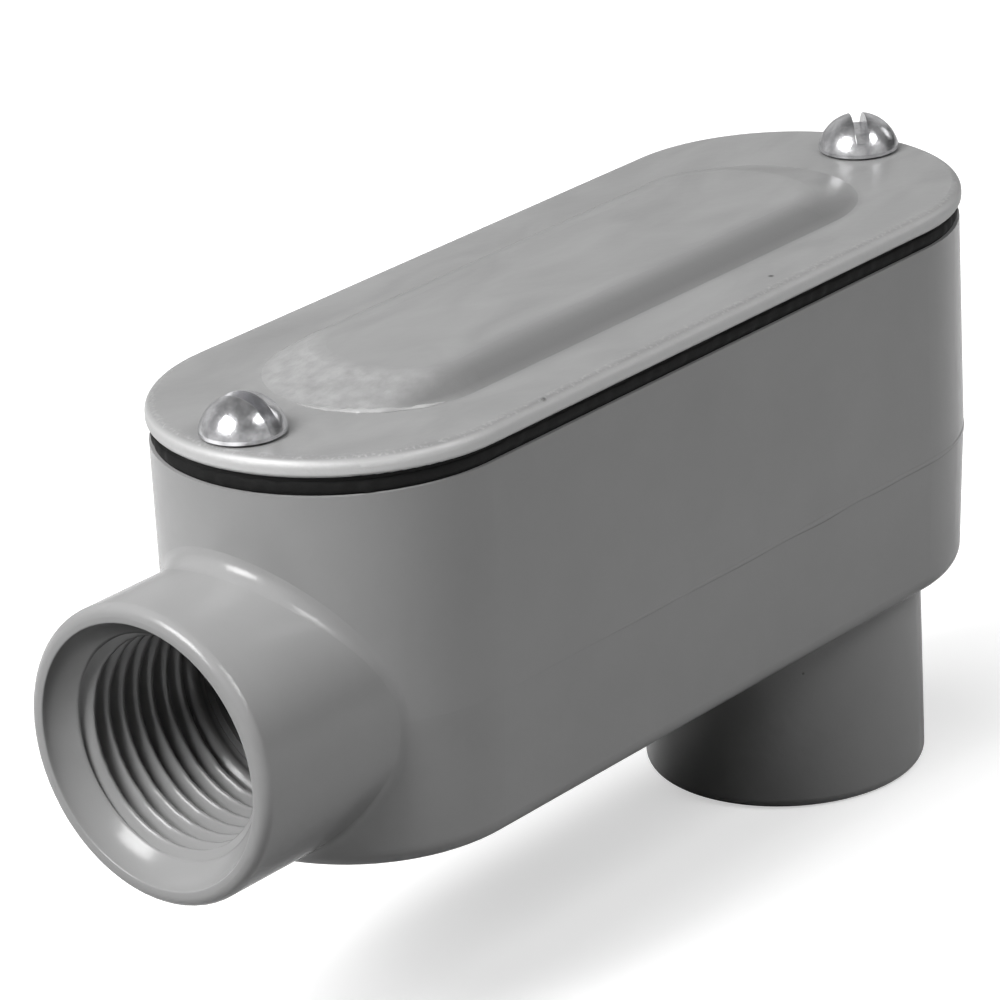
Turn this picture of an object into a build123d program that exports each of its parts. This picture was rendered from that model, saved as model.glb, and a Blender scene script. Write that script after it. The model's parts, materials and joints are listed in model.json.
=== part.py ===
from build123d import *
import math
import os

os.makedirs("parts", exist_ok=True)

# Conduit body for half-inch conduit: a die-cast trough with one threaded hub on its front end and one
# on its back, a flat gasket, a pressed cover and two cover screws. Sizes are in millimetres.
# The origin is on the back hub's axis, where that hub's full thread starts. +Z leaves the cover, and
# +X runs from the front hub towards the far end.

# Hubs, measured inwards from each mouth
thread_root_radius = 10.6
thread_length = 14.9
hub_wall = 2.94
hub_lip_wall = 1.39
hub_lip_round = 1.0
hub_lip_inner_round = 0.3
lead_in_depth = 2.6
lead_in_hollow = 0.38
throat_step = 1.7
front_throat_length = 2.2
front_throat_round = 0.7
front_hub_root_round = 1.6
back_throat_in_hub = 1.8
back_throat_round = 1.0
back_hub_root_round = 0.3

# Casting
casting_length = 96.2
casting_side_margin = 3.06
casting_back_margin = 0.26
parting_drop = 21.0
lower_draft_inset = 0.67
bottom_round = 2.0
wall = 2.2
floor_thickness = 2.4
cavity_floor_round = 2.0
sleeve_crotch_rise = 4.5
sleeve_past_boss = 0.65

# Cover screws, number 8, and their bosses in the casting
screw_inset = 4.3
back_hub_from_screw = 14.7
shank_radius = 2.08
shank_clearance = 0.05
shank_tip_chamfer = 0.5
shank_tip_gap = 1.9
tapped_hole_floor = 2.4
boss_wall = 2.17
screw_hole_clearance = 0.35
head_radius = 3.8
head_rim_height = 0.55
head_height = 3.5
slot_width = 1.3
slot_depth = 1.9
front_slot_angle = 92.0
rear_slot_angle = 45.0

# Gasket and cover
gasket_thickness = 1.65
gasket_edge_inset = 0.35
gasket_opening_margin = 0.5
cover_end_overhang = 0.1
cover_side_overhang = 0.4
cover_thickness = 1.75
cover_top_round = 0.9
cover_bottom_round = 0.45
panel_from_screw = 7.5
panel_from_side = 6.4
panel_end_slope = 6.4
panel_side_slope = 1.9
panel_rise = 1.5
panel_crown_round = 5.6

# Hub sizes that follow
hub_radius = thread_root_radius + hub_wall
lead_in_radius = hub_radius - hub_lip_wall
throat_radius = thread_root_radius - throat_step
thread_end_depth = lead_in_depth + thread_length
front_sleeve_length = thread_end_depth + front_throat_length
back_hub_reach = thread_end_depth + back_throat_in_hub
back_throat_length = back_throat_in_hub + floor_thickness

# Casting sizes and levels that follow
casting_width = 2 * (hub_radius + casting_side_margin)
casting_height = parting_drop + hub_radius + casting_back_margin
back_mouth_z = -lead_in_depth
bottom_z = back_mouth_z + back_hub_reach
floor_z = bottom_z + floor_thickness
casting_top_z = bottom_z + casting_height
parting_z = casting_top_z - parting_drop

# Screw sizes and places along the casting that follow
screw_from_middle = casting_length / 2 - screw_inset
middle_x = back_hub_from_screw - screw_from_middle
front_screw_x = middle_x - screw_from_middle
rear_screw_x = middle_x + screw_from_middle
boss_radius = shank_radius + shank_clearance + boss_wall
tapped_depth = parting_drop - thread_root_radius - tapped_hole_floor
shank_length = cover_thickness + gasket_thickness + tapped_depth - shank_tip_gap
front_sleeve_end_x = front_screw_x + boss_radius + sleeve_past_boss
front_mouth_x = front_sleeve_end_x - front_sleeve_length

# Gasket and cover sizes and levels that follow
gasket_top_z = casting_top_z + gasket_thickness
cover_top_z = gasket_top_z + cover_thickness
cover_length = casting_length + 2 * cover_end_overhang
cover_width = casting_width + 2 * cover_side_overhang
panel_length = 2 * (screw_from_middle - panel_from_screw)
panel_width = cover_width - 2 * panel_from_side

front_axis = Axis((front_mouth_x, 0, parting_z), (1, 0, 0))
back_axis = Axis((0, 0, back_mouth_z), (0, 0, 1))
front_plane = Plane(origin=front_axis.position, x_dir=(0, 1, 0), z_dir=(1, 0, 0))
back_plane = Plane(origin=back_axis.position, x_dir=(1, 0, 0), z_dir=(0, 0, 1))
edge_tolerance = 0.02
upwards = (Align.CENTER, Align.CENTER, Align.MIN)
downwards = (Align.CENTER, Align.CENTER, Align.MAX)


def trough(length, width, low_z, draft_inset):
    """Round-ended block from the casting's top down to low_z, drafted inwards below the parting line."""
    outline = Pos(middle_x, 0, parting_z) * SlotOverall(length, width)
    upper = extrude(outline, casting_top_z - parting_z)
    depth = parting_z - low_z
    draft = math.degrees(math.atan2(draft_inset, depth))
    lower = extrude(outline, depth, dir=(0, 0, -1), taper=draft)
    return upper + lower


def hub_bore(throat_length):
    """Space inside a hub along +Z from its mouth: hollowed lead-in, wall at the thread's root, throat."""
    past_mouth = 1.0
    mouth = Cylinder(lead_in_radius, past_mouth, align=downwards)
    lip = (lead_in_radius, 0)
    thread_start = (thread_root_radius, lead_in_depth)
    hollow = SagittaArc(lip, thread_start, -lead_in_hollow)
    closing = Polyline(thread_start, (0, lead_in_depth), (0, 0), lip)
    lead_in = revolve(Plane.XZ * make_face([hollow, closing]), Axis.Z)
    thread = Cylinder(thread_root_radius, thread_end_depth, align=upwards)
    throat = Cylinder(throat_radius, throat_length, align=upwards)
    return mouth + lead_in + thread + Pos(0, 0, thread_end_depth) * throat


def edges_at_radius(solid, axis, radius, low, high):
    """Edges that lie at one radius about an axis, between two places along it."""
    found = []
    for edge in solid.edges():
        samples = [edge.position_at(t) - axis.position for t in (0.0, 0.25, 0.5, 0.75, 1.0)]
        along = [p.dot(axis.direction) for p in samples]
        out = [(p - axis.direction * s).length for p, s in zip(samples, along)]
        at_radius = all(abs(r - radius) < edge_tolerance for r in out)
        if at_radius and low - edge_tolerance < min(along) and max(along) < high + edge_tolerance:
            found.append(edge)
    return found


def screw_boss(screw_x, outward):
    """Full-height column around a tapped hole, joined to the end wall on its outward side."""
    height = casting_top_z - floor_z
    to_wall = abs(middle_x + outward * casting_length / 2 - screw_x) - wall / 2
    column = Cylinder(boss_radius, height, align=upwards)
    web = Box(to_wall, 2 * boss_radius, height, align=(Align.MIN, Align.CENTER, Align.MIN))
    turned = Rot(0, 0, 0 if outward > 0 else 180)
    return Pos(screw_x, 0, floor_z) * (column + turned * web)


def make_housing():
    """Die-cast trough with both hubs, screw bosses, cavity and throats, as one solid."""
    body = trough(casting_length, casting_width, bottom_z, lower_draft_inset)
    body = fillet(body.faces().sort_by(Axis.Z)[0].edges(), bottom_round)
    front_sleeve = front_plane * Cylinder(hub_radius, front_sleeve_length, align=upwards)
    back_sleeve = back_plane * Cylinder(hub_radius, back_hub_reach + floor_thickness, align=upwards)
    body = body + front_sleeve + back_sleeve
    front_root = edges_at_radius(body, front_axis, hub_radius, hub_lip_round, front_sleeve_length)
    body = fillet(front_root, front_hub_root_round)
    back_root = edges_at_radius(body, back_axis, hub_radius, back_hub_reach, back_hub_reach)
    flat_beside_hub = casting_side_margin - lower_draft_inset - bottom_round
    body = fillet(back_root, min(back_hub_root_round, 0.8 * flat_beside_hub))

    # The cavity keeps clear of the front sleeve, the bosses and the crotches beside the sleeve.
    cavity = trough(casting_length - 2 * wall, casting_width - 2 * wall, floor_z, lower_draft_inset)
    cavity = fillet(cavity.faces().sort_by(Axis.Z)[0].edges(), cavity_floor_round)
    block_height = parting_z + sleeve_crotch_rise - bottom_z
    along_x = (Align.MIN, Align.CENTER, Align.MIN)
    block = Box(front_sleeve_length, casting_width, block_height, align=along_x)
    under_sleeve = Pos(front_mouth_x, 0, bottom_z) * block
    cavity = cavity - front_sleeve - under_sleeve
    cavity = cavity - screw_boss(front_screw_x, -1) - screw_boss(rear_screw_x, 1)
    body = body - cavity

    body = body - front_plane * hub_bore(front_throat_length)
    body = body - back_plane * hub_bore(back_throat_length)
    tapped_hole = Cylinder(shank_radius + shank_clearance, tapped_depth, align=downwards)
    for screw_x in (front_screw_x, rear_screw_x):
        body = body - Pos(screw_x, 0, casting_top_z) * tapped_hole
    return soften_hubs(body)


def soften_hubs(body):
    """Rounds on both lips and on the cavity side of both throats."""
    for axis, throat_length, inner_round in (
        (front_axis, front_throat_length, front_throat_round),
        (back_axis, back_throat_length, back_throat_round),
    ):
        throat_end = thread_end_depth + throat_length
        body = fillet(edges_at_radius(body, axis, hub_radius, 0, 0), hub_lip_round)
        body = fillet(edges_at_radius(body, axis, lead_in_radius, 0, 0), hub_lip_inner_round)
        body = fillet(edges_at_radius(body, axis, throat_radius, throat_end, throat_end), inner_round)
    return body


def screw_holes(low_z, height):
    """Clearance holes for both screws through one layer."""
    hole = Cylinder(shank_radius + screw_hole_clearance, height, align=upwards)
    return [Pos(x, 0, low_z) * hole for x in (front_screw_x, rear_screw_x)]


def make_gasket():
    """Flat ring on the casting's rim, cut out inside the screws."""
    outline = SlotOverall(casting_length - 2 * gasket_edge_inset, casting_width - 2 * gasket_edge_inset)
    opening_length = 2 * (screw_from_middle - boss_radius - gasket_opening_margin)
    opening = SlotOverall(opening_length, casting_width - 2 * wall - 2 * gasket_opening_margin)
    gasket = extrude(Pos(middle_x, 0, casting_top_z) * (outline - opening), gasket_thickness)
    for hole in screw_holes(casting_top_z, gasket_thickness):
        gasket = gasket - hole
    return gasket


def panel(base_z):
    """Raised centre of the cover: wider slopes at its round ends than along its sides, crowned on top."""
    base = Pos(middle_x, 0, base_z) * SlotOverall(panel_length, panel_width)
    top = Pos(middle_x, 0, base_z + panel_rise) * SlotOverall(
        panel_length - 2 * panel_end_slope, panel_width - 2 * panel_side_slope
    )
    raised = loft([base.face(), top.face()], ruled=True)
    return fillet(raised.faces().sort_by(Axis.Z)[-1].edges(), panel_crown_round)


def make_cover():
    """Pressed plate: the panel rises on top and leaves the same hollow underneath."""
    outline = Pos(middle_x, 0, gasket_top_z) * SlotOverall(cover_length, cover_width)
    plate = extrude(outline, cover_thickness)
    plate = fillet(plate.faces().sort_by(Axis.Z)[-1].edges(), cover_top_round)
    plate = fillet(plate.faces().sort_by(Axis.Z)[0].edges(), cover_bottom_round)
    plate = plate + panel(cover_top_z) - panel(gasket_top_z)
    for hole in screw_holes(gasket_top_z, cover_thickness):
        plate = plate - hole
    return plate


def make_screw(screw_x, slot_angle):
    """Slotted round-head screw, its head on the cover's top face."""
    dome_height = head_height - head_rim_height
    dome_radius = (head_radius**2 + dome_height**2) / (2 * dome_height)
    rim = Cylinder(head_radius, head_rim_height, align=upwards)
    ball = Pos(0, 0, head_height - dome_radius) * Sphere(dome_radius)
    above_rim = Pos(0, 0, head_rim_height) * Cylinder(head_radius, head_height, align=upwards)
    shank = Cylinder(shank_radius, shank_length, align=downwards)
    shank = chamfer(shank.edges().sort_by(Axis.Z)[0], shank_tip_chamfer)
    slot = Box(2 * head_radius, slot_width, slot_depth, align=downwards)
    screw = rim + (ball & above_rim) + shank - Pos(0, 0, head_height) * slot
    return Pos(screw_x, 0, cover_top_z) * (Rot(0, 0, slot_angle) * screw)


parts = {
    "housing": make_housing(),
    "cover_gasket": make_gasket(),
    "cover": make_cover(),
    "cover_screw_front": make_screw(front_screw_x, front_slot_angle),
    "cover_screw_rear": make_screw(rear_screw_x, rear_slot_angle),
}

for name, shape in parts.items():
    print(name, "volume mm3", round(shape.volume, 1))
    export_step(shape, "parts/" + name + ".step")
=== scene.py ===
import bpy
import json
import numpy as np
from mathutils import Matrix, Vector


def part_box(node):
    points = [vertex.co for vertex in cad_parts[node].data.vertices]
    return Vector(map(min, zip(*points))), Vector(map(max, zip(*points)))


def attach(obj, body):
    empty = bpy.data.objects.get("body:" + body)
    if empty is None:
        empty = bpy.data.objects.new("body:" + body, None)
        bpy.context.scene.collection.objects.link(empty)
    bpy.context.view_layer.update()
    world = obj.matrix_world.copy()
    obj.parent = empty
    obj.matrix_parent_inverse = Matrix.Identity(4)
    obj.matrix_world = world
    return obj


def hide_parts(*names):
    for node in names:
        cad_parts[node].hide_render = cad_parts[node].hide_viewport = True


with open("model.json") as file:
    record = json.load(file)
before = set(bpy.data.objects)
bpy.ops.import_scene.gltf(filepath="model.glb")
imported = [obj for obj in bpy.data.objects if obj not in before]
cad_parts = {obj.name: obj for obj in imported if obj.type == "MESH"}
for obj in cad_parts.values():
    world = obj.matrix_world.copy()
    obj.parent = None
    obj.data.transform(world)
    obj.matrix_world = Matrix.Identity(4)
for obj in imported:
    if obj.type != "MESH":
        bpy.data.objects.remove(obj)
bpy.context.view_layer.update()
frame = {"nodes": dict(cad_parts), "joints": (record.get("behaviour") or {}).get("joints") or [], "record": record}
nodes = frame["nodes"]
mm = 0.001  # sizes below are written in millimetres, apart from the lamps'
print("stage: frame loaded,", len(nodes), "pieces of the conduit body")


# Places that the pieces share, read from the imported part.

mounts = {mount["name"]: mount for mount in frame["record"]["mounts"]}
housingLow, housingHigh = (np.array(corner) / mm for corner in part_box("housing"))
gasketLow, gasketHigh = (np.array(corner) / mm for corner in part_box("cover_gasket"))
coverLow, coverHigh = (np.array(corner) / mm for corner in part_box("cover"))
joints = {joint["name"]: joint for joint in frame["joints"]}
coverTop = joints["screw_front_turn"]["pos_m"][2] / mm
middleX = (coverLow[0] + coverHigh[0]) / 2
coverMiddle = np.array([middleX, 0, coverTop])
partingLine = mounts["front_hub"]["pos_m"][2] / mm
floorLevel = housingLow[2]


# Mesh helpers.

def makePiece(name, points, faces, material, smooth=True):
    # One mesh at the origin from points in millimetres and a list of faces.
    mesh = bpy.data.meshes.new(name)
    mesh.from_pydata((np.asarray(points) * mm).tolist(), [], faces)
    mesh.validate()
    mesh.polygons.foreach_set("use_smooth", [smooth] * len(mesh.polygons))
    mesh.materials.append(material)
    piece = bpy.data.objects.new(name, mesh)
    bpy.context.scene.collection.objects.link(piece)
    return piece


def gridFaces(rows, columns, wrapRows, wrapColumns, first=0):
    # Quads between neighbours of a rows by columns grid, wrapped round where asked.
    i = np.arange(rows if wrapRows else rows - 1)[:, None]
    j = np.arange(columns if wrapColumns else columns - 1)[None, :]
    nextI = (i + 1) % rows
    nextJ = (j + 1) % columns
    corners = [i * columns + j, nextI * columns + j, nextI * columns + nextJ, i * columns + nextJ]
    quads = np.stack([np.broadcast_to(corner, (i.size, j.size)) for corner in corners], -1)
    return (quads.reshape(-1, 4) + first).tolist()


def endFaces(points, profilePoints):
    # The first and the last profile of an open tube, as two faces that close it.
    ends = np.arange(profilePoints)
    return [ends[::-1].tolist(), (ends + len(points) - profilePoints).tolist()]


def anglesRound(count):
    # That many angles once round a circle, as one row.
    return np.linspace(0, 2 * np.pi, count, endpoint=False)[None, :]


def smoothStep(x):
    # Rises from 0 to 1 with no corner at either end.
    x = np.clip(x, 0, 1)
    return x * x * (3 - 2 * x)


def waves(count, seed, slowest, fastest, size):
    # Sum of sines round a closed path of so many points, with seeded heights and phases: an uneven line.
    random = np.random.default_rng(seed)
    cycles = np.arange(slowest, fastest + 1)[:, None]
    phase = random.uniform(0, 2 * np.pi, cycles.shape)
    height = random.normal(size=cycles.shape) / np.sqrt(fastest - slowest + 1)
    return size * (height * np.sin(cycles * anglesRound(count) + phase)).sum(0)


def slotPath(walk, halfLength, radius):
    # Walk round a slot outline, anticlockwise from the front end of its -Y side: a straight side, a half
    # circle, the other side, the other half circle. Gives places in the plane and outward directions.
    straight = 2 * (halfLength - radius)
    arc = np.pi * radius
    walkedOnArcs = np.clip(walk - straight, 0, arc) + np.clip(walk - 2 * straight - arc, 0, arc)
    angle = -np.pi / 2 + walkedOnArcs / radius
    along = -straight / 2 + np.clip(walk, 0, straight) - np.clip(walk - straight - arc, 0, straight)
    outward = np.stack([np.cos(angle), np.sin(angle)], -1)
    place = outward * radius + np.stack([middleX + along, np.zeros_like(along)], -1)
    return place, outward


def slotRound(halfLength, radius):
    # Length once round a slot outline.
    return 4 * (halfLength - radius) + 2 * np.pi * radius


def bandPoints(place, outward, reach, level):
    # Carries a profile, reach outwards and level upwards, along a path: one row of points per place.
    flat = place[:, None, :] + outward[:, None, :] * reach[..., None]
    return np.concatenate([flat, np.broadcast_to(level, reach.shape)[..., None]], -1).reshape(-1, 3)


# Material helpers. Sockets that share a name on one node are given by number.

fromLow, fromHigh, toLow, toHigh = 1, 2, 3, 4  # a Map Range node's two ranges
colourA, colourB, mixedColour = 6, 7, 2  # a Mix node's two colours and its result


def linearColour(hexColour):
    # sRGB hex to the linear colour that a socket takes.
    srgb = np.array([int(hexColour[i:i + 2], 16) for i in (1, 3, 5)]) / 255
    linear = np.where(srgb <= 0.04045, srgb / 12.92, ((srgb + 0.055) / 1.055) ** 2.4)
    return (*linear.tolist(), 1.0)


def addNode(tree, kind, settings=None, links=None):
    # One node: settings are its properties or socket values, links the sockets that feed it. A key is a
    # name or a socket's number.
    node = tree.nodes.new(kind)
    for key, value in (settings or {}).items():
        if isinstance(key, int) or key in node.inputs:
            node.inputs[key].default_value = value
        else:
            setattr(node, key, value)
    for key, source in (links or {}).items():
        tree.links.new(source, node.inputs[key])
    return node


def newMaterial(name):
    # An empty node material with its shader, its output and the piece's own coordinates.
    material = bpy.data.materials.new(name)
    material.use_nodes = True
    tree = material.node_tree
    tree.nodes.clear()
    shader = addNode(tree, "ShaderNodeBsdfPrincipled")
    addNode(tree, "ShaderNodeOutputMaterial", links={"Surface": shader.outputs[0]})
    place = addNode(tree, "ShaderNodeTexCoord").outputs["Object"]
    return material, tree, shader, place


def cyclesPerMetre(sizeInMm):
    # Texture scale that makes one feature of a pattern that many millimetres wide.
    return 1 / (sizeInMm * mm)


castEnamel = {
    "colour": "#929292",
    "darker": "#888888",
    "roughness": 0.23,
    "ior": 1.46,
    "cloudMm": 11.0,
    "peelMm": 1.1,
    "peelHeightMm": 0.012,
    "grainMm": 0.3,
    "grainHeightMm": 0.003,
    "pitShadeColour": "#666666",
    "pitCellMm": 5.0,
    "pitRadiusInCells": 0.042,
    "pitFloorShare": 0.5,
    "pitShare": 0.35,
    "pitHeightMm": 0.05,
}


def makeCastEnamel():
    # Grey baked enamel over die-cast aluminium: half gloss, a soft orange peel, the casting's grain under
    # it, and a few small pits where the paint drew back from dust, darkened inside with painted shade.
    material, tree, shader, place = newMaterial("bakedEnamelOnCastAluminium")
    look = castEnamel
    cloud = addNode(tree, "ShaderNodeTexNoise", {"Scale": cyclesPerMetre(look["cloudMm"]), "Detail": 4.0},
                    {"Vector": place})
    tint = addNode(tree, "ShaderNodeMix", {"data_type": "RGBA", colourA: linearColour(look["colour"]),
                                           colourB: linearColour(look["darker"])}, {0: cloud.outputs[0]})
    cells = addNode(tree, "ShaderNodeTexVoronoi", {"Scale": cyclesPerMetre(look["pitCellMm"])},
                    {"Vector": place})
    dip = addNode(tree, "ShaderNodeMapRange", {fromLow: look["pitFloorShare"] * look["pitRadiusInCells"],
                                               fromHigh: look["pitRadiusInCells"], toLow: 1.0, toHigh: 0.0},
                  {0: cells.outputs["Distance"]})
    chosen = addNode(tree, "ShaderNodeMath", {"operation": "LESS_THAN", 1: look["pitShare"]},
                     {0: cells.outputs["Color"]})
    pits = addNode(tree, "ShaderNodeMath", {"operation": "MULTIPLY"},
                   {0: dip.outputs[0], 1: chosen.outputs[0]})
    # Painted shade: the pits' own dark colour stands in for the shade inside them.
    shaded = addNode(tree, "ShaderNodeMix", {"data_type": "RGBA", colourB: linearColour(look["pitShadeColour"])},
                     {0: pits.outputs[0], colourA: tint.outputs[mixedColour]})
    tree.links.new(shaded.outputs[mixedColour], shader.inputs["Base Color"])
    peel = addNode(tree, "ShaderNodeTexNoise", {"Scale": cyclesPerMetre(look["peelMm"]), "Detail": 1.0},
                   {"Vector": place})
    grain = addNode(tree, "ShaderNodeTexNoise", {"Scale": cyclesPerMetre(look["grainMm"]), "Detail": 2.0},
                    {"Vector": place})
    coarse = addNode(tree, "ShaderNodeBump", {"Distance": look["peelHeightMm"] * mm},
                     {"Height": peel.outputs[0]})
    fine = addNode(tree, "ShaderNodeBump", {"Distance": look["grainHeightMm"] * mm},
                   {"Height": grain.outputs[0], "Normal": coarse.outputs[0]})
    sunk = addNode(tree, "ShaderNodeBump", {"Distance": look["pitHeightMm"] * mm, "invert": True},
                   {"Height": pits.outputs[0], "Normal": fine.outputs[0]})
    tree.links.new(sunk.outputs[0], shader.inputs["Normal"])
    shader.inputs["Roughness"].default_value = look["roughness"]
    shader.inputs["IOR"].default_value = look["ior"]
    return material


panel = {"radius": 10.6, "halfLength": 36.3}  # outline of the raised panel's foot


# A pair of places or distances in Mm says where a finish begins and where it is full.
coverEnamel = {
    "colour": "#888888",
    "darker": "#7c7c7c",
    # painted shade on the panel's steep -Y side
    "steepSideShadeColour": "#6b6b6b",
    # painted light on the front slope, which faces the window lamp
    "frontSlopeLitColour": "#939393",
    # painted shade of the two pits, which have no hollow of their own
    "pitShadeColour": "#3a3a3a",
    "bareColour": "#bebebe",
    "bareMetal": 0.4,
    "bareRoughness": 0.6,
    "roughness": 0.30,
    "ior": 1.46,
    "wispMm": 5.0,
    "wispStretch": 0.4,
    "wispCurl": 0.8,
    "wispRange": (0.28, 0.72),
    "peelMm": 0.9,
    "peelHeightMm": 0.010,
    "edgeBandMm": (1.4, 0.5),
    "sideMm": (0.1, 0.5),
    "crumbMm": 0.4,
    "crumbRange": (0.5, 0.75),
    "crumbShare": 0.4,
    "crumbHeightMm": 0.03,
    "nearSlopeMm": (-5.6, -8.6),
    "footMm": (11.2, 9.9),
    "flangeShare": 0.04,
    "frontSlopeMiddleMm": (-50.0, 0.0, 55.6),
    "frontSlopeMm": (8.0, 9.8),
    "frontSlopeAlongMm": (-51.5, -55.0),
    "blisterMm": 1.2,
    "blisterRange": (0.3, 0.7),
    "blisterHeightMm": 0.09,
    "pits": ((-53.3, -16.5, 54.75), (-18.65, -14.57, 54.9)),
    "pitMm": (0.34, 0.14),
}


def slotDistance(tree, axes, halfStraight):
    # Distance from a slot outline's middle line: the length of how far a place is past its straight part
    # and how far across.
    fromMiddle = addNode(tree, "ShaderNodeMath", {"operation": "SUBTRACT", 1: middleX * mm},
                         {0: axes.outputs[0]})
    along = addNode(tree, "ShaderNodeMath", {"operation": "ABSOLUTE"}, {0: fromMiddle.outputs[0]})
    past = addNode(tree, "ShaderNodeMath", {"operation": "SUBTRACT", 1: halfStraight * mm},
                   {0: along.outputs[0]})
    past = addNode(tree, "ShaderNodeMath", {"operation": "MAXIMUM", 1: 0.0}, {0: past.outputs[0]})
    flat = addNode(tree, "ShaderNodeCombineXYZ", links={0: past.outputs[0], 1: axes.outputs[1]})
    distance = addNode(tree, "ShaderNodeVectorMath", {"operation": "LENGTH"}, {0: flat.outputs[0]})
    return distance.outputs["Value"]


def coverMasks(tree, place, crust, blister):
    # Where each finish of the cover lies, as masks from 0 to 1. The first ones rise while their source runs
    # between two places in millimetres, and the others are products of them and of two patterns.
    look = coverEnamel
    axes = addNode(tree, "ShaderNodeSeparateXYZ", links={0: place})
    distances = []
    for middle in (look["frontSlopeMiddleMm"], *look["pits"]):
        away = addNode(tree, "ShaderNodeVectorMath", {"operation": "DISTANCE", 1: [c * mm for c in middle]},
                       {0: place})
        distances.append(away.outputs["Value"])
    fromFront, fromFirstPit, fromSecondPit = distances
    nearPit = addNode(tree, "ShaderNodeMath", {"operation": "MINIMUM"}, {0: fromFirstPit, 1: fromSecondPit})
    panelStraight = panel["halfLength"] - panel["radius"]
    coverStraight = (coverHigh[0] - coverLow[0]) / 2 - coverHigh[1]

    masks = {}
    for name, source, (start, end) in (
            ("nearSide", axes.outputs[1], look["nearSlopeMm"]),
            ("panel", slotDistance(tree, axes, panelStraight), look["footMm"]),
            ("frontArc", fromFront, look["frontSlopeMm"]),
            ("frontEnd", axes.outputs[0], look["frontSlopeAlongMm"]),
            ("rim", slotDistance(tree, axes, coverStraight), [coverHigh[1] - m for m in look["edgeBandMm"]]),
            ("side", axes.outputs[2], [coverTop - m for m in look["sideMm"]]),
            ("pit", nearPit.outputs[0], look["pitMm"])):
        masks[name] = addNode(tree, "ShaderNodeMapRange", {fromLow: start * mm, fromHigh: end * mm},
                              {0: source}).outputs[0]
    masks["flange"] = addNode(tree, "ShaderNodeMapRange", {toLow: look["flangeShare"], toHigh: 1.0},
                              {0: masks["panel"]}).outputs[0]
    masks["mottled"] = addNode(tree, "ShaderNodeMapRange", {fromLow: look["blisterRange"][0],
                                                            fromHigh: look["blisterRange"][1]},
                               {0: blister.outputs[0]}).outputs[0]
    masks["crumbs"] = addNode(tree, "ShaderNodeMapRange", {fromLow: look["crumbRange"][0],
                                                           fromHigh: look["crumbRange"][1],
                                                           toHigh: look["crumbShare"]},
                              {0: crust.outputs[0]}).outputs[0]
    # Among these, the first is painted shade on the panel's steep -Y side, and the fourth is painted light on its
    # front slope, in blistered patches.
    for name, first, second in (("nearSlopeShade", "nearSide", "flange"), ("frontSlope", "frontArc", "frontEnd"),
                                ("frontSlope", "frontSlope", "panel"), ("pale", "frontSlope", "mottled"),
                                ("crumbled", "crumbs", "rim")):
        masks[name] = addNode(tree, "ShaderNodeMath", {"operation": "MULTIPLY"},
                              {0: masks[first], 1: masks[second]}).outputs[0]
    masks["bare"] = addNode(tree, "ShaderNodeMath", {"operation": "MAXIMUM"},
                            {0: masks["side"], 1: masks["crumbled"]}).outputs[0]
    return masks


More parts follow.
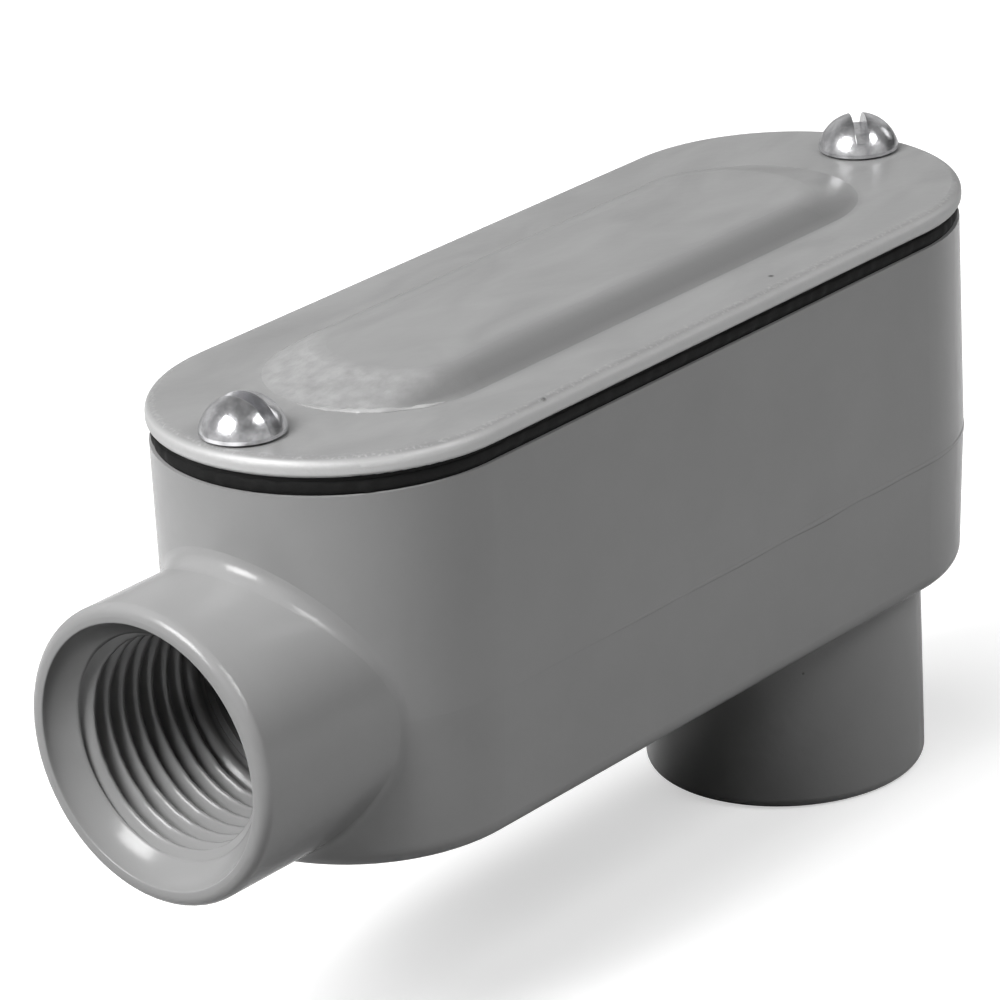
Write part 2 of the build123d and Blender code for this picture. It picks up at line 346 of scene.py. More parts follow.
def makeCoverEnamel():
    # Grey baked enamel over pressed aluminium sheet: wispy flow marks along the cover, painted shade on the
    # panel's steep -Y side, blistered on its front slope with painted light there, painted shade in two pits
    # drawn only as dark spots, and crumbled to bare metal along the sheared edge.
    material, tree, shader, place = newMaterial("bakedEnamelOnPressedAluminium")
    look = coverEnamel
    stretched = addNode(tree, "ShaderNodeVectorMath",
                        {"operation": "MULTIPLY", 1: (look["wispStretch"], 1, 1)}, {0: place})
    wisps = addNode(tree, "ShaderNodeTexNoise", {"Scale": cyclesPerMetre(look["wispMm"]), "Detail": 5.0,
                                                 "Distortion": look["wispCurl"]},
                    {"Vector": stretched.outputs[0]})
    flow = addNode(tree, "ShaderNodeMapRange", {fromLow: look["wispRange"][0],
                                                fromHigh: look["wispRange"][1]}, {0: wisps.outputs[0]})
    peel = addNode(tree, "ShaderNodeTexNoise", {"Scale": cyclesPerMetre(look["peelMm"]), "Detail": 1.0},
                   {"Vector": place})
    crust = addNode(tree, "ShaderNodeTexNoise", {"Scale": cyclesPerMetre(look["crumbMm"]), "Detail": 2.0},
                    {"Vector": place})
    blister = addNode(tree, "ShaderNodeTexNoise",
                      {"Scale": cyclesPerMetre(look["blisterMm"]), "Detail": 3.0}, {"Vector": place})
    masks = coverMasks(tree, place, crust, blister)

    paint = addNode(tree, "ShaderNodeMix", {"data_type": "RGBA", colourA: linearColour(look["colour"]),
                                            colourB: linearColour(look["darker"])}, {0: flow.outputs[0]})
    # Painted light on the front slope, painted shade on the near slope and in the two pits, then the bare edge's
    # metal colour.
    for name, colour in (("pale", "frontSlopeLitColour"), ("nearSlopeShade", "steepSideShadeColour"), ("pit", "pitShadeColour"),
                         ("bare", "bareColour")):
        paint = addNode(tree, "ShaderNodeMix", {"data_type": "RGBA", colourB: linearColour(look[colour])},
                        {0: masks[name], colourA: paint.outputs[mixedColour]})
    tree.links.new(paint.outputs[mixedColour], shader.inputs["Base Color"])
    metal = addNode(tree, "ShaderNodeMath", {"operation": "MULTIPLY", 1: look["bareMetal"]},
                    {0: masks["bare"]})
    tree.links.new(metal.outputs[0], shader.inputs["Metallic"])

    coarse = addNode(tree, "ShaderNodeBump", {"Distance": look["peelHeightMm"] * mm},
                     {"Height": peel.outputs[0]})
    crusty = addNode(tree, "ShaderNodeBump", {"Distance": look["crumbHeightMm"] * mm},
                     {"Strength": masks["rim"], "Height": crust.outputs[0], "Normal": coarse.outputs[0]})
    rough = addNode(tree, "ShaderNodeBump", {"Distance": look["blisterHeightMm"] * mm},
                    {"Strength": masks["frontSlope"], "Height": blister.outputs[0],
                     "Normal": crusty.outputs[0]})
    tree.links.new(rough.outputs[0], shader.inputs["Normal"])
    gloss = addNode(tree, "ShaderNodeMapRange", {toLow: look["roughness"], toHigh: look["bareRoughness"]},
                    {0: masks["bare"]})
    tree.links.new(gloss.outputs[0], shader.inputs["Roughness"])
    shader.inputs["IOR"].default_value = look["ior"]
    return material


beadEnamel = {
    # lighter than the cover's enamel: a painted highlight along the panel's foot
    "colour": "#a9a9a9",
    "darker": "#8b8b8b",
    "roughness": 0.3,
    "ior": 1.46,
    "patchMm": 6.0,
    "patchRange": (0.42, 0.58),
    "peelMm": 0.9,
    "peelHeightMm": 0.02,
}


def makeBeadEnamel():
    # The cover's enamel where it ran down and gathered at the panel's foot: thick and smooth, with a painted
    # highlight that lightens its colour in uneven stretches.
    material, tree, shader, place = newMaterial("gatheredEnamelPaintedHighlight")
    look = beadEnamel
    patches = addNode(tree, "ShaderNodeTexNoise", {"Scale": cyclesPerMetre(look["patchMm"]), "Detail": 2.0},
                      {"Vector": place})
    highlightStretches = addNode(tree, "ShaderNodeMapRange", {fromLow: look["patchRange"][0],
                                                   fromHigh: look["patchRange"][1]}, {0: patches.outputs[0]})
    tint = addNode(tree, "ShaderNodeMix", {"data_type": "RGBA", colourA: linearColour(look["colour"]),
                                           colourB: linearColour(look["darker"])}, {0: highlightStretches.outputs[0]})
    tree.links.new(tint.outputs[mixedColour], shader.inputs["Base Color"])
    peel = addNode(tree, "ShaderNodeTexNoise", {"Scale": cyclesPerMetre(look["peelMm"]), "Detail": 1.0},
                   {"Vector": place})
    bump = addNode(tree, "ShaderNodeBump", {"Distance": look["peelHeightMm"] * mm},
                   {"Height": peel.outputs[0]})
    tree.links.new(bump.outputs[0], shader.inputs["Normal"])
    shader.inputs["Roughness"].default_value = look["roughness"]
    shader.inputs["IOR"].default_value = look["ior"]
    return material


rubber = {
    "colour": "#060606",
    "dust": "#141414",
    "roughness": 0.8,
    "specular": 0.25,
    "grainMm": 0.5,
    "grainHeightMm": 0.03,
}


def makeRubber():
    # Black neoprene sheet, die-cut: matte, with a coarse cut grain and a little grey dust in it.
    material, tree, shader, place = newMaterial("blackNeopreneSheet")
    look = rubber
    shader.inputs["Roughness"].default_value = look["roughness"]
    shader.inputs["Specular IOR Level"].default_value = look["specular"]
    grain = addNode(tree, "ShaderNodeTexNoise", {"Scale": cyclesPerMetre(look["grainMm"]), "Detail": 3.0},
                    {"Vector": place})
    dusty = addNode(tree, "ShaderNodeMix", {"data_type": "RGBA", colourA: linearColour(look["colour"]),
                                            colourB: linearColour(look["dust"])}, {0: grain.outputs[0]})
    tree.links.new(dusty.outputs[mixedColour], shader.inputs["Base Color"])
    bump = addNode(tree, "ShaderNodeBump", {"Distance": look["grainHeightMm"] * mm},
                   {"Height": grain.outputs[0]})
    tree.links.new(bump.outputs[0], shader.inputs["Normal"])
    return material


zinc = {
    "colour": "#dcdcde",
    "darker": "#b0b0b2",
    "metal": 0.92,
    "roughness": 0.25,
    "dullMm": 1.6,
    "dullRange": (0.4, 0.65),
    "grainMm": 0.7,
    "grainHeightMm": 0.03,
}


def makeZinc():
    # Bright zinc plate on a cold-headed steel screw: a soft, slightly uneven mirror with duller clouds.
    material, tree, shader, place = newMaterial("brightZincPlatedSteel")
    look = zinc
    shader.inputs["Metallic"].default_value = look["metal"]
    shader.inputs["Roughness"].default_value = look["roughness"]
    cloud = addNode(tree, "ShaderNodeTexNoise", {"Scale": cyclesPerMetre(look["dullMm"]), "Detail": 4.0},
                    {"Vector": place})
    clouded = addNode(tree, "ShaderNodeMapRange", {fromLow: look["dullRange"][0],
                                                   fromHigh: look["dullRange"][1]}, {0: cloud.outputs[0]})
    tint = addNode(tree, "ShaderNodeMix", {"data_type": "RGBA", colourA: linearColour(look["colour"]),
                                           colourB: linearColour(look["darker"])}, {0: clouded.outputs[0]})
    tree.links.new(tint.outputs[mixedColour], shader.inputs["Base Color"])
    grain = addNode(tree, "ShaderNodeTexNoise", {"Scale": cyclesPerMetre(look["grainMm"]), "Detail": 2.0},
                    {"Vector": place})
    bump = addNode(tree, "ShaderNodeBump", {"Distance": look["grainHeightMm"] * mm},
                   {"Height": grain.outputs[0]})
    tree.links.new(bump.outputs[0], shader.inputs["Normal"])
    return material


enamelOnCasting = makeCastEnamel()
enamelOnCover = makeCoverEnamel()
enamelBead = makeBeadEnamel()
gasketRubber = makeRubber()
platedSteel = makeZinc()

cadFinishes = {"housing": enamelOnCasting, "cover": enamelOnCover, "cover_gasket": gasketRubber}
for nodeName, material in cadFinishes.items():
    mesh = nodes[nodeName].data
    mesh.materials.clear()
    mesh.materials.append(material)
print("stage: materials made")


# Pipe thread in both hubs.

pipeThread = {
    "pitch": 25.4 / 14,
    "ridgeHeight": 1.1,
    "crestWidth": 0.12,
    "rootWidth": 0.10,
    "startTurns": 0.36,
    "firstRoot": 0.19,
    "rimDepth": 2.6,
    "rimCorner": ((12.42, 0.0), (12.41, 0.0), (12.12, 0.002), (12.04, 0.015), (11.99, 0.06)),
    "leadInStart": 2.5,
    "leadInRadius": 11.97,
    "leadInHollow": 0.30,
    "leadInSteps": 14,
    "lipEdge": 10.2,
    "lipEdgeDepth": 0.05,
    "lipEdgeThickness": 0.01,
    "lipBackDepth": 0.14,
    "endTurns": 2.6,
    "lastGroove": 0.25,
    "unevenMm": 0.035,
    "unevenSeed": 5,
    "unevenCycles": (2, 40),
    "unevenPerMm": 2.1,
    "intoWall": 0.3,
    "aboveWall": 0.015,
    "anglesPerTurn": 224,
    "stepsPerTurn": 24,
}


def makeHubThread(name, mount):
    # Closed sleeve. Its inner radius is the wall's radius less a ridge that moves one pitch inwards with
    # each turn of the angle. Over the last turns the grooves grow shallow, as a tap leaves them. At the
    # mouth a slightly hollow cone leads in to a sharp lip before the first groove. The outer side runs back
    # inside the wall.
    size = pipeThread
    rootRadius = mount["dims"]["r_mm"]
    wallRadius = rootRadius - size["aboveWall"]
    length = mount["dims"]["length_mm"]

    # Threaded wall, from behind the lip to the shoulder.
    steps = int(length / size["pitch"] * size["stepsPerTurn"])
    depth = np.linspace(0, length, steps)[:, None]
    angle = anglesRound(size["anglesPerTurn"])
    turn = (depth / size["pitch"] - size["firstRoot"] - angle / (2 * np.pi)) % 1.0
    fromCrest = np.abs(turn - 0.5) * 2
    flank = np.clip((1 - size["rootWidth"] - fromCrest) / (1 - size["rootWidth"] - size["crestWidth"]), 0, 1)
    ridge = 0.5 * flank + 0.5 * smoothStep(flank)
    running = smoothStep((length - depth) / (size["endTurns"] * size["pitch"]))
    groove = (1 - ridge) * (size["lastGroove"] + (1 - size["lastGroove"]) * running)
    rising = np.clip(depth / (size["startTurns"] * size["pitch"]), 0, 1)
    height = size["ridgeHeight"] * np.minimum(1 - groove, rising)
    uneven = waves(size["anglesPerTurn"], size["unevenSeed"], *size["unevenCycles"], size["unevenMm"])
    uneven = uneven[None, :] * np.cos(size["unevenPerMm"] * depth)
    inner = wallRadius - np.maximum(height + uneven * rising * ridge, 0)
    inner = inner[depth[:, 0] > size["lipBackDepth"]]
    depth = depth[depth[:, 0] > size["lipBackDepth"]]

    # Rim, hollow lead-in and lip, from the mouth inwards.
    share = np.linspace(0, 1, size["leadInSteps"])
    leadInDepth = -size["leadInStart"] + share * (size["leadInStart"] + size["lipEdgeDepth"])
    leadInRadius = (size["leadInRadius"] + share * (size["lipEdge"] - size["leadInRadius"])
                    + 4 * size["leadInHollow"] * share * (1 - share))
    rimRadius, rimDepth = np.array(size["rimCorner"]).T
    lipBack = [size["lipEdgeDepth"] + size["lipEdgeThickness"], size["lipBackDepth"]]
    lipDepth = np.concatenate([rimDepth - size["rimDepth"], leadInDepth, lipBack])[:, None]
    lipRadius = np.concatenate([rimRadius, leadInRadius, [size["lipEdge"], wallRadius]])[:, None]
    lipInner = np.broadcast_to(lipRadius, (len(lipDepth), size["anglesPerTurn"]))
    lipInner = np.where(lipDepth > size["lipEdgeDepth"], np.minimum(lipInner, inner[:1]), lipInner)

    # Outer side, inside the casting, and the whole profile turned about the hub's axis.
    outer = np.full((2, size["anglesPerTurn"]), rootRadius + size["intoWall"])
    outer[1] = rimRadius[0]
    outerDepth = np.array([[length], [size["intoWall"] - size["rimDepth"]]])
    radius = np.vstack([lipInner, inner, outer])
    along = np.broadcast_to(np.vstack([lipDepth, depth, outerDepth]), radius.shape)
    inwards = -np.array(mount["axis"], float)
    side = np.array([0.0, 1.0, 0.0])
    third = np.cross(inwards, side)
    start = np.array(mount["pos_m"]) / mm
    points = (start + along[..., None] * inwards
              + (radius * np.cos(angle))[..., None] * side + (radius * np.sin(angle))[..., None] * third)
    faces = gridFaces(radius.shape[0], radius.shape[1], True, True)
    piece = makePiece(name, points.reshape(-1, 3), faces, enamelOnCasting)
    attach(piece, "casting")


makeHubThread("hub_thread_front", mounts["front_hub"])
makeHubThread("hub_thread_back", mounts["back_hub"])
print("stage: pipe threads cut")


# Flash along the casting's parting line.

partingFlash = {
    "height": 0.04,
    "leastHeight": 0.004,
    "width": 0.5,
    "leastWidthShare": 0.05,
    "sunkBy": 0.001,
    "fade": 50.0,
    "clearOfHub": 19.0,
    "uneven": 0.2,
    "unevenSeed": 31,
    "unevenCycles": (3, 30),
    "placesRound": 700,
    "profilePoints": 10,
}


def makePartingFlash():
    # Low bead where the two halves of the die met: a flat half round carried round the trough's widest
    # outline, thinning out before it reaches the front hub.
    size = partingFlash
    radius = housingHigh[1]
    halfLength = housingHigh[0] - middleX
    around = slotRound(halfLength, radius)
    hubAt = around - np.pi * radius / 2
    walk = np.linspace(hubAt + size["clearOfHub"], hubAt + around - size["clearOfHub"], size["placesRound"])
    place, outward = slotPath(walk % around, halfLength, radius)
    fromEnd = np.minimum(walk - walk[0], walk[-1] - walk)[:, None]
    uneven = waves(size["placesRound"], size["unevenSeed"], *size["unevenCycles"], size["uneven"])
    thin = smoothStep(fromEnd / size["fade"]) * (1 + uneven[:, None])
    turns = anglesRound(size["profilePoints"])
    reach = np.maximum(size["height"] * thin, size["leastHeight"]) * np.cos(turns) - size["sunkBy"]
    halfWidth = size["width"] / 2 * np.maximum(thin, size["leastWidthShare"])
    level = partingLine + halfWidth * np.sin(turns)
    points = bandPoints(place, outward, reach, level)
    faces = gridFaces(size["placesRound"], size["profilePoints"], False, True)
    faces += endFaces(points, size["profilePoints"])
    piece = makePiece("parting_flash", points, faces, enamelOnCasting)
    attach(piece, "casting")


makePartingFlash()
print("stage: parting line raised")


# Squeezed edge of the gasket.

gasketBulge = {
    "outwards": 0.2,
    "leastOutwards": 0.02,
    "inwards": 0.6,
    "fromCasting": 0.16,
    "fromCover": 0.42,
    "unevenOut": 0.06,
    "unevenUp": 0.05,
    "seeds": {"swell": 11, "low": 12, "high": 13},
    "swellCycles": (6, 150),
    "borderCycles": (6, 120),
    "placesRound": 900,
    "profilePoints": 16,
}


def makeGasketBulge():
    # Closed ring round the gasket's edge: a half ellipse that swells outwards between the casting and the
    # cover, its reach and its two borders wandering a little along the way.
    size = gasketBulge
    count = size["placesRound"]
    halfLength = (gasketHigh[0] - gasketLow[0]) / 2
    radius = gasketHigh[1]
    walk = np.linspace(0, slotRound(halfLength, radius), count, endpoint=False)
    place, outward = slotPath(walk, halfLength, radius)
    seeds = size["seeds"]
    unevenLow = waves(count, seeds["low"], *size["borderCycles"], size["unevenUp"])[:, None]
    unevenHigh = waves(count, seeds["high"], *size["borderCycles"], size["unevenUp"])[:, None]
    swell = size["outwards"] + waves(count, seeds["swell"], *size["swellCycles"], size["unevenOut"])[:, None]
    low = gasketLow[2] + size["fromCasting"] + unevenLow
    high = gasketHigh[2] - size["fromCover"] + unevenHigh
    around = anglesRound(size["profilePoints"])
    outside = np.cos(around) > 0
    reach = np.where(outside, np.maximum(swell, size["leastOutwards"]), size["inwards"]) * np.cos(around)
    level = (low + high) / 2 + (high - low) / 2 * np.sin(around)
    points = bandPoints(place, outward, reach, level)
    faces = gridFaces(count, size["profilePoints"], True, True)
    piece = makePiece("gasket_squeezed_edge", points, faces, gasketRubber)
    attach(piece, "casting")


makeGasketBulge()
print("stage: gasket squeezed")


# Bead of paint at the foot of the cover's panel, round its front end. Its turns are counted from +X.

panelBead = {
    "height": 0.2,
    "width": 0.8,
    "firstTurn": 0.49,
    "lastTurn": 0.695,
    "uneven": 0.2,
    "unevenSeed": 21,
    "unevenCycles": (2, 14),
    "placesAlong": 260,
    "profilePoints": 12,
}


def makePanelBead():
    # Closed bead along part of the panel's outline, half of its round profile standing above the cover. Its
    # size is the root of a half sine wave along it, so that it thins to nothing at both ends.
    size = panelBead
    straight = 2 * (panel["halfLength"] - panel["radius"])
    arc = np.pi * panel["radius"]
    turns = np.linspace(size["firstTurn"], size["lastTurn"], size["placesAlong"])
    walk = 2 * straight + arc + (turns - 0.25) * 2 * arc  # the front arc starts a quarter turn from +X
    place, outward = slotPath(walk, panel["halfLength"], panel["radius"])
    uneven = waves(size["placesAlong"], size["unevenSeed"], *size["unevenCycles"], size["uneven"])
    thin = np.sin(np.pi * np.linspace(0, 1, size["placesAlong"]))[:, None] ** 0.5
    thin = thin * (1 + uneven[:, None])
    around = anglesRound(size["profilePoints"])
    reach = size["width"] / 2 * thin * np.cos(around)
    level = coverTop + size["height"] * thin * np.sin(around)
    points = bandPoints(place, outward, reach, level)
    faces = gridFaces(size["placesAlong"], size["profilePoints"], False, True)
    faces += endFaces(points, size["profilePoints"])
    piece = makePiece("panel_foot_bead", points, faces, enamelBead)
    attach(piece, "lid")


makePanelBead()
print("stage: bead laid at the panel's foot")


# Cover screws.

coverScrew = {
    "headRadius": 3.8,
    "rimHeight": 0.55,
    "headHeight": 3.5,
    "rimUndercut": 0.1,
    "rimFrom": 0.22,
    "slotWidth": 1.3,
    "slotDepth": 1.9,
    "slotEdge": 0.07,
    "slotEdgeMiddle": 0.4,
    "slotEdgeWear": 0.6,
    "slotClearEdges": 1.5,
    "slotWallLean": 0.001,
    "rows": 96,
    "columns": 97,
    "shankRadius": 2.08,
    "shankInHead": 0.4,
    "threadPitch": 0.794,
    "threadDepth": 0.42,
    "pointLength": 0.7,
    "pointNarrowing": 0.5,
    "stepsPerPitch": 12,
    "anglesPerTurn": 72,
    "sharpDegrees": 35,
    "slotDegrees": {"front": 92.0, "rear": 45.0},
}


def makeScrewHead():
    # Points and faces of a closed head whose underside lies on the cover. Its top is a height over a disc,
    # the dome or the slot's floor, on lines that run along the slot and crowd at the slot's edges. Its
    # underside is the disc, drawn in a little, and a low wall joins the two.
    size = coverScrew
    domeHeight = size["headHeight"] - size["rimHeight"]
    domeRadius = (size["headRadius"] ** 2 + domeHeight ** 2) / (2 * domeHeight)
    halfSlot = size["slotWidth"] / 2
    edge = size["slotEdge"]
    lean = size["slotWallLean"]
    spread = size["headRadius"] * np.sin(np.linspace(-np.pi / 2, np.pi / 2, size["rows"]))
    spread = spread[np.abs(spread) > halfSlot + size["slotClearEdges"] * edge]
    slotRows = halfSlot + np.array([edge, size["slotEdgeMiddle"] * edge, 0.0, -lean, -halfSlot / 2])
    across = np.sort(np.concatenate([spread, slotRows, -slotRows, [0.0]]))[:, None]
    lengthwise = np.sin(np.linspace(-np.pi / 2, np.pi / 2, size["columns"]))[None, :]
    reach = np.sqrt(np.maximum(size["headRadius"] ** 2 - across ** 2, 0))
    along = lengthwise * reach
    across = np.broadcast_to(across, along.shape)
    fromAxis = np.minimum(np.hypot(along, across), size["headRadius"])
    dome = size["headHeight"] - domeRadius + np.sqrt(domeRadius ** 2 - fromAxis ** 2)
    slotFloor = np.minimum(dome, size["headHeight"] - size["slotDepth"])
    inSlot = np.abs(across) < halfSlot - lean / 2
    worn = np.clip(1 - (np.abs(across) - halfSlot) / edge, 0, 1) ** 2 * edge * size["slotEdgeWear"]
    top = np.where(inSlot, slotFloor, dome - worn)
    rows, columns = along.shape
    upper = np.stack([along, across, top], -1).reshape(-1, 3)
    lower = np.stack([along, across, np.zeros_like(top)], -1).reshape(-1, 3) * (1 - size["rimUndercut"])
    upFaces = gridFaces(rows, columns, False, False)
    faces = [face[::-1] for face in upFaces] + [[v + rows * columns for v in face] for face in upFaces]
    grid = np.arange(rows * columns).reshape(rows, columns)
    ring = np.concatenate([grid[0, :], grid[1:, -1], grid[-1, -2::-1], grid[-2:0:-1, 0]])
    rim = upper[ring] * [1, 1, 0] + [0, 0, size["rimFrom"]]
    levels = [ring, np.arange(len(ring)) + 2 * rows * columns, ring + rows * columns]
    for above, below in zip(levels, levels[1:]):
        faces += np.stack([above, np.roll(above, -1), np.roll(below, -1), below], -1).tolist()
    return np.vstack([upper, lower, rim]), faces


def makeScrewShank(length, first):
    # Points and faces of a closed shank, its vertices counted from first. Its radius swings between crest
    # and root with depth and angle, which is a thread, and narrows over the last stretch. A point in its
    # axis closes each end.
    size = coverScrew
    steps = int(length / size["threadPitch"] * size["stepsPerPitch"])
    depth = np.linspace(-size["shankInHead"], length, steps)[:, None]
    angle = anglesRound(size["anglesPerTurn"])
    ridge = 0.5 + 0.5 * np.cos(2 * np.pi * (depth / size["threadPitch"] + angle / (2 * np.pi)))
    widened = smoothStep((length - depth) / size["pointLength"]) * size["pointNarrowing"]
    radius = size["shankRadius"] - size["pointNarrowing"] + widened - size["threadDepth"] * (1 - ridge)
    shank = np.stack([radius * np.cos(angle), radius * np.sin(angle),
                      np.broadcast_to(-depth, radius.shape)], -1)
    poles = np.array([[0, 0, size["shankInHead"]], [0, 0, -length]])
    faces = gridFaces(radius.shape[0], radius.shape[1], False, True, first)
    topRow = np.arange(size["anglesPerTurn"]) + first
    lastRow = topRow + radius.size - len(topRow)
    topPole = np.full(len(topRow), first + radius.size)
    faces += np.stack([topRow, np.roll(topRow, -1), topPole], -1).tolist()
    faces += np.stack([np.roll(lastRow, -1), lastRow, topPole + 1], -1).tolist()
    return np.vstack([shank.reshape(-1, 3), poles]), faces


def makeScrew(name, node, joint, body, slotDegrees):
    # Head and shank in one mesh, turned about their axis to where the slot points.
    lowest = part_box(node)[0][2] / mm
    centre = np.array(joint["pos_m"]) / mm
    headPoints, headFaces = makeScrewHead()
    shankPoints, shankFaces = makeScrewShank(coverTop - lowest, len(headPoints))
    points = np.vstack([headPoints, shankPoints])
    turn = np.radians(slotDegrees)
    turned = np.array([[np.cos(turn), np.sin(turn), 0], [-np.sin(turn), np.cos(turn), 0], [0, 0, 1]])
    piece = makePiece(name, points @ turned + centre, headFaces + shankFaces, platedSteel)
    piece.data.set_sharp_from_angle(angle=np.radians(coverScrew["sharpDegrees"]))
    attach(piece, body)
    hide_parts(node)


for end in ("front", "rear"):
    makeScrew(f"slotted_screw_{end}", f"cover_screw_{end}", joints[f"screw_{end}_turn"], f"{end}_screw",
              coverScrew["slotDegrees"][end])
print("stage: screws headed and threaded")


# Floor, lamps and camera.

# A brightness of 1 is white. The doorway is a direction, and its edges are cosines of the angle from it.
# The wall ends, and the overhead starts, at heights of a direction of length 1.
studio = {
    "floorHalfWidth": 3000.0,
    "floorShade": 0.76,
    "floorGlow": 0.5,
    "floorShadeAsLight": 0.08,
    "wallBrightness": 0.52,
    "overheadBrightness": 0.14,
    "doorway": (0.90, -0.42, 0.08),
    "doorwayEdges": (0.80, 0.92),
    "doorwayBrightness": 0.02,
    "wallEnds": 0.42,
    "overheadStarts": 0.75,
    "fillLight": 0.015,
}


def makeFloor():
    # Pale floor under the back hub's mouth. The camera sees it near white with the shadow, mirrors see
    # it lit by the lamps, and it gives little light back to the underside.
    material = bpy.data.materials.new("paleStudioFloor")
    material.use_nodes = True
    tree = material.node_tree
    tree.nodes.clear()
    path = addNode(tree, "ShaderNodeLightPath")
    seen = addNode(tree, "ShaderNodeMath", {"operation": "MAXIMUM"},
                   {0: path.outputs["Is Camera Ray"], 1: path.outputs["Is Glossy Ray"]})
    seen = addNode(tree, "ShaderNodeMath", {"operation": "MAXIMUM"},
                   {0: seen.outputs[0], 1: path.outputs["Is Transmission Ray"]})
    shade = studio["floorShade"]
    dim = studio["floorShadeAsLight"]
    white = addNode(tree, "ShaderNodeBsdfDiffuse", {"Color": (shade, shade, shade, 1)})
    glowing = addNode(tree, "ShaderNodeMath", {"operation": "MULTIPLY", 1: studio["floorGlow"]},
                      {0: path.outputs["Is Camera Ray"]})
    glow = addNode(tree, "ShaderNodeEmission", links={"Strength": glowing.outputs[0]})
    bright = addNode(tree, "ShaderNodeAddShader", links={0: white.outputs[0], 1: glow.outputs[0]})
    dull = addNode(tree, "ShaderNodeBsdfDiffuse", {"Color": (dim, dim, dim, 1)})
    mixed = addNode(tree, "ShaderNodeMixShader",
                    links={0: seen.outputs[0], 1: dull.outputs[0], 2: bright.outputs[0]})
    addNode(tree, "ShaderNodeOutputMaterial", links={"Surface": mixed.outputs[0]})
    half = studio["floorHalfWidth"]
    corners = [[x, y, floorLevel] for x, y in ((-half, -half), (half, -half), (half, half), (-half, half))]
    floor = makePiece("studioFloor", corners, [[0, 1, 2, 3]], material, smooth=False)


def makeWorld():
    # White to the camera, in mirrors a pale wall that darkens overhead and has a dark doorway at the far
    # end, and nearly no light of its own.
    world = bpy.data.worlds.new("studioWorld")
    bpy.context.scene.world = world
    world.use_nodes = True
    tree = world.node_tree
    tree.nodes.clear()
    path = addNode(tree, "ShaderNodeLightPath")
    mirrored = addNode(tree, "ShaderNodeMath", {"operation": "MAXIMUM"},
                       {0: path.outputs["Is Glossy Ray"], 1: path.outputs["Is Transmission Ray"]})
    direction = addNode(tree, "ShaderNodeTexCoord")
    height = addNode(tree, "ShaderNodeSeparateXYZ", links={0: direction.outputs["Generated"]})
    wall = addNode(tree, "ShaderNodeMapRange", {fromLow: studio["wallEnds"],
                                                fromHigh: studio["overheadStarts"],
                                                toLow: studio["wallBrightness"],
                                                toHigh: studio["overheadBrightness"]},
                   {0: height.outputs[2]})
    towards = addNode(tree, "ShaderNodeVectorMath", {"operation": "DOT_PRODUCT", 1: studio["doorway"]},
                      {0: direction.outputs["Generated"]})
    dark = addNode(tree, "ShaderNodeMapRange", {fromLow: studio["doorwayEdges"][0],
                                                fromHigh: studio["doorwayEdges"][1], toLow: 1.0,
                                                toHigh: studio["doorwayBrightness"]},
                   {0: towards.outputs["Value"]})
    seen = addNode(tree, "ShaderNodeMath", {"operation": "MULTIPLY"},
                   {0: wall.outputs[0], 1: dark.outputs[0]})
    light = addNode(tree, "ShaderNodeBackground", {"Strength": studio["fillLight"], "Color": (1, 1, 1, 1)})
    room = addNode(tree, "ShaderNodeBackground", {"Color": (1, 1, 1, 1)}, {"Strength": seen.outputs[0]})
    white = addNode(tree, "ShaderNodeBackground", {"Strength": 1.0, "Color": (1, 1, 1, 1)})
    mixed = addNode(tree, "ShaderNodeMixShader",
                    links={0: mirrored.outputs[0], 1: light.outputs[0], 2: room.outputs[0]})
    mixed = addNode(tree, "ShaderNodeMixShader",
                    links={0: path.outputs["Is Camera Ray"], 1: mixed.outputs[0], 2: white.outputs[0]})
    addNode(tree, "ShaderNodeOutputWorld", links={"Surface": mixed.outputs[0]})


lamps = {
    "window": {"towards": (-0.73, 0.16, 0.64), "distance": 0.7, "size": 0.33, "strength": 1.08,
               "mirrored": True},
    "ceiling": {"towards": (-0.40, 0.15, 0.90), "distance": 0.9, "size": 0.9, "strength": 0.94,
                "mirrored": False},
    "reflector": {"towards": (0.30, -0.85, 0.32), "distance": 1.1, "size": 1.0, "strength": 0.20,
                  "mirrored": False},
    "skylight": {"towards": (0.16, -0.64, 0.75), "distance": 0.7, "size": 0.24, "strength": 0.30,
                 "mirrored": True},
    "farLamp": {"towards": (0.90, -0.27, 0.34), "distance": 0.7, "size": 0.17, "strength": 0.05,
                "mirrored": True},
}


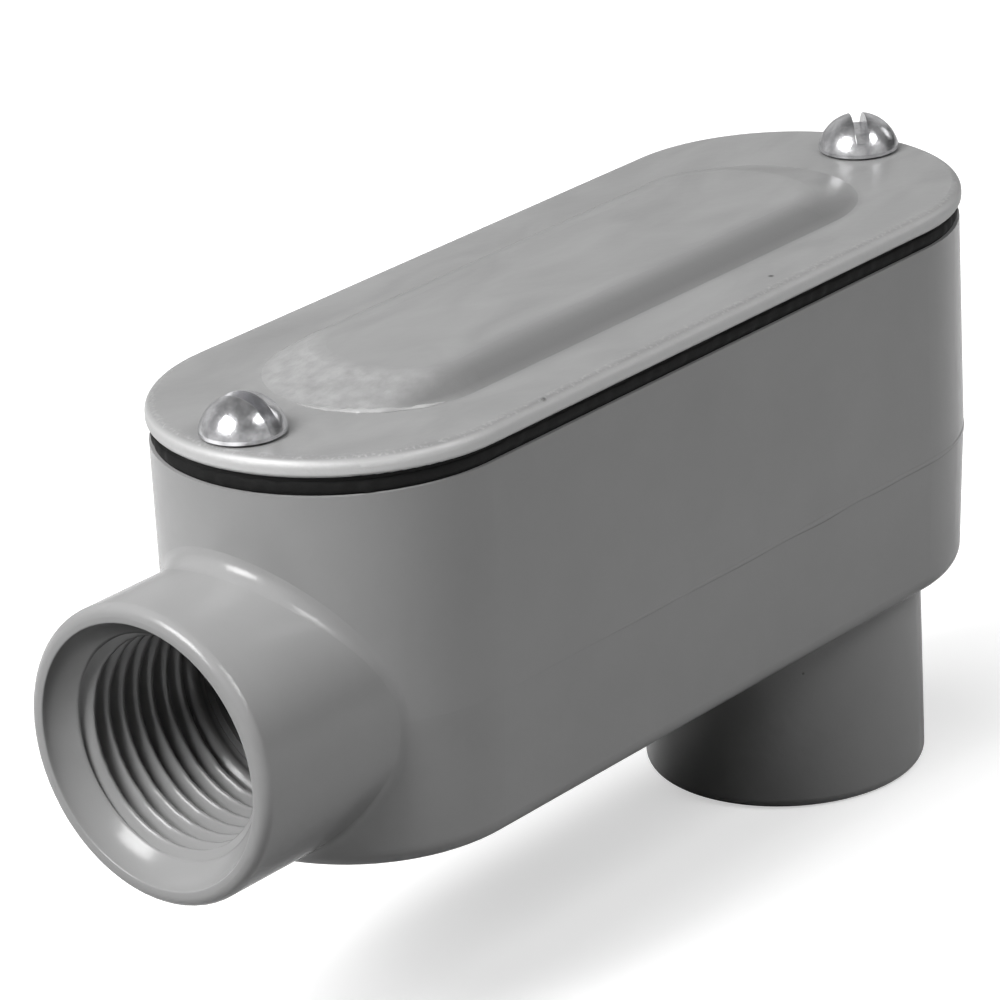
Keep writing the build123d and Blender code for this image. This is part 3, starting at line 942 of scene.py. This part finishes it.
def placeLamps():
    # Square soft boxes that face the cover's middle, their sizes in metres. A strength of 1 lights a facing
    # surface so that its colour shows as written. Some show in polished surfaces as bright spots, and the
    # wide ones only light what they reach.
    target = Vector(coverMiddle * mm)
    for name, lamp in lamps.items():
        direction = Vector(lamp["towards"]).normalized()
        data = bpy.data.lights.new(name, "AREA")
        data.shape = "SQUARE"
        data.size = lamp["size"]
        data.energy = lamp["strength"] * np.pi ** 2 * lamp["distance"] ** 2
        box = bpy.data.objects.new(name, data)
        box.location = target + direction * lamp["distance"]
        box.rotation_euler = direction.to_track_quat("Z", "Y").to_euler()
        box.visible_camera = False
        box.visible_glossy = lamp["mirrored"]
        bpy.context.scene.collection.objects.link(box)


cameraView = {
    "azimuth": -49.24,
    "elevation": 21.84,
    "roll": -3.2,
    "lens": 190.44,
    "sensor": 36.0,
    "nearestShown": 10.0,
    "distance": 474.13,
    "across": -6.35,
    "upward": -19.61,
}


def placeCamera():
    # The photograph's viewpoint: distance along the line of sight from the cover's middle, then a shift
    # across and upward in the picture's own directions.
    view = cameraView
    azimuth, elevation, roll = np.radians([view["azimuth"], view["elevation"], view["roll"]])
    back = np.array([np.sin(azimuth) * np.cos(elevation), -np.cos(azimuth) * np.cos(elevation),
                     np.sin(elevation)])
    level = np.array([np.cos(azimuth), np.sin(azimuth), 0.0])
    upright = np.cross(back, level)
    right = np.cos(roll) * level + np.sin(roll) * upright
    up = -np.sin(roll) * level + np.cos(roll) * upright
    place = coverMiddle + right * view["across"] + up * view["upward"] + back * view["distance"]
    data = bpy.data.cameras.new("photoCamera")
    data.lens = view["lens"]
    data.sensor_width = view["sensor"]
    data.clip_start = view["nearestShown"] * mm
    camera = bpy.data.objects.new("photoCamera", data)
    turned = Matrix(np.column_stack([right, up, back]).tolist()).to_4x4()
    camera.matrix_world = Matrix.Translation(Vector(place * mm)) @ turned
    bpy.context.scene.collection.objects.link(camera)
    bpy.context.scene.camera = camera


makeFloor()
makeWorld()
placeLamps()
placeCamera()
bpy.context.scene.view_settings.view_transform = "Standard"
print("stage: floor, lamps and camera placed")
